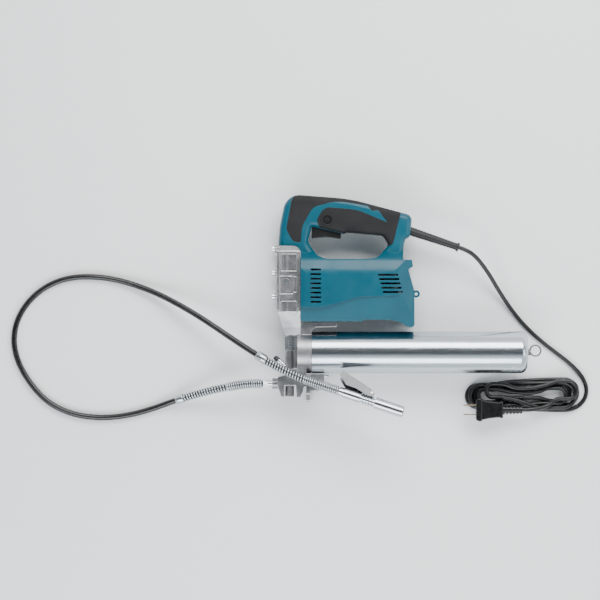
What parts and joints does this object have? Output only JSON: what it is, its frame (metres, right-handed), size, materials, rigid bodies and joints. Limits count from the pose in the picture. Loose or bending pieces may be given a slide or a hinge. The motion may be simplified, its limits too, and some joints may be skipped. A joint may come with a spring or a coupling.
{
  "type": "corded grease gun",
  "caption": "Corded electric grease gun with a D-handle, a cartridge barrel, a spring-guarded hose with a lever lock-on coupler, and a power lead in a hank.",
  "frame": {"origin": "bottom centre of the gun's box (housing, pump head and barrel, without the free hose and lead), on the surface it lies on", "axes": "+X along the barrel away from the pump head, +Y from the barrel up to the handle, +Z out of the side that faces up as it lies"},
  "size_m": [0.7951, 0.3092, 0.0934],
  "materials": {
    "teal_housing": "moulded glass-filled nylon, satin",
    "soft_grip": "soft overmoulding, matt",
    "trigger_black": "satin black",
    "cast_alloy": "die-cast, bead-blasted and bare",
    "zinc_steel": "bright zinc plate",
    "turned_steel": "machined",
    "black_oxide": "black oxide",
    "guard_wire": "bright wound spring wire",
    "hose_black": "smooth extruded",
    "lead_black": "PVC sheath",
    "plug_black": "moulded PVC",
    "blade_brass": "nickel-worn brass",
    "copper": "enamelled winding and copper bars",
    "laminations": "varnished stack",
    "carbon": "pressed carbon",
    "nylon": "natural nylon",
    "gasket": "nitrile"
  },
  "bodies": {
    "gun": {"barrel_gasket": "gasket", "brush_holders": "nylon", "carbon_brushes": "carbon", "case_screws": "zinc_steel", "check_spring": "guard_wire", "cord_clamp": "nylon", "cord_guard": "plug_black", "coupler_body": "zinc_steel", "coupler_jaws": "black_oxide", "coupler_spring": "guard_wire", "crank_axle": "turned_steel", "front_bearing": "turned_steel", "front_cover": "cast_alloy", "gear_case": "cast_alloy", "grip_left": "soft_grip", "grip_right": "soft_grip", "hose_adapter": "zinc_steel", "hose_guard_inlet": "guard_wire", "hose_guard_outlet": "guard_wire", "hose_tube": "hose_black", "housing_left": "teal_housing", "housing_right": "teal_housing", "housing_screws": "black_oxide", "lead_coil": "lead_black", "lead_tail": "lead_black", "lead_tube": "lead_black", "lever_pin": "turned_steel", "loader_block": "cast_alloy", "loader_nipple": "zinc_steel", "packing_nut": "zinc_steel", "plug_blades": "blade_brass", "plug_body": "plug_black", "plug_relief": "plug_black", "pump_head": "cast_alloy", "rear_bearing": "turned_steel", "stand_foot": "cast_alloy", "stator": "laminations", "switch_module": "trigger_black", "trigger_spring": "guard_wire", "valve_plug": "turned_steel"},
    "trigger": {"trigger": "trigger_black"},
    "lock": {"lock_button": "trigger_black"},
    "rotor": {"armature_shaft": "turned_steel", "armature_core": "laminations", "commutator": "copper", "cooling_fan": "nylon", "pinion": "turned_steel"},
    "crank": {"crank_gear": "turned_steel"},
    "pump_rod": {"yoke": "turned_steel", "plunger": "turned_steel"},
    "valve": {"check_ball": "turned_steel"},
    "barrel": {"barrel": "zinc_steel", "rod_bush": "turned_steel", "follower_spring": "guard_wire"},
    "follower": {"follower_rod": "zinc_steel", "follower_cup": "gasket"},
    "lever": {"coupler_lever": "zinc_steel"},
    "sleeve": {"coupler_sleeve": "zinc_steel"},
    "bleeder": {"air_bleeder": "zinc_steel", "bleeder_cap": "black_oxide"}
  },
  "joints": [
    {"name": "trigger_pull", "type": "slide", "parent": "gun", "child": "trigger", "axis": [0, 1, 0], "range_m": [0, 0.005], "stiffness_N_per_m": 1500, "springref_m": -0.003, "deforming": ["trigger_spring"]},
    {"name": "lock_press", "type": "slide", "parent": "gun", "child": "lock", "axis": [0, 0, -1], "range_m": [0, 0.0025], "stiffness_N_per_m": 900, "springref_m": -0.002},
    {"name": "armature_spin", "type": "hinge", "parent": "gun", "child": "rotor", "pos_m": [-0.0742, 0.0161, 0.038], "axis": [1, 0, 0], "continuous": true},
    {"name": "crank_spin", "type": "hinge", "parent": "gun", "child": "crank", "pos_m": [-0.1462, -0.00765, 0.038], "axis": [1, 0, 0], "continuous": true},
    {"name": "pump_stroke", "type": "slide", "parent": "gun", "child": "pump_rod", "axis": [0, 1, 0], "range_m": [-0.012, 0.012]},
    {"name": "check_ball_lift", "type": "slide", "parent": "gun", "child": "valve", "axis": [0, -1, 0], "range_m": [0, 0.0008], "stiffness_N_per_m": 400, "springref_m": -0.001, "deforming": ["check_spring"]},
    {"name": "barrel_off", "type": "slide", "parent": "gun", "child": "barrel", "axis": [1, 0, 0], "range_m": [0, 0.3]},
    {"name": "follower_pull", "type": "slide", "parent": "barrel", "child": "follower", "axis": [1, 0, 0], "range_m": [0, 0.21], "stiffness_N_per_m": 300, "springref_m": -0.02, "deforming": ["follower_spring"]},
    {"name": "lever_squeeze", "type": "hinge", "parent": "gun", "child": "lever", "pos_m": [-0.04274, -0.13137, 0.07646], "axis": [0.0065, 0.3919, 0.92], "range_deg": [0, 16], "stiffness_Nm_per_rad": 1.2, "springref_deg": -6.88},
    {"name": "sleeve_slide", "type": "slide", "parent": "gun", "child": "sleeve", "axis": [-0.9433, 0.3079, -0.1245], "range_m": [0, 0.003], "deforming": ["coupler_spring"]},
    {"name": "bleeder_turn", "type": "hinge", "parent": "gun", "child": "bleeder", "pos_m": [-0.1588, -0.0945, 0.038], "axis": [-0.7431, 0.6691, 0], "range_deg": [0, 270]}
  ],
  "couplings": [
    {"joint": "crank_spin", "follows": "armature_spin", "ratio": -0.26667},
    {"joint": "sleeve_slide", "follows": "lever_squeeze", "m_per_rad": 0.01073}
  ]
}
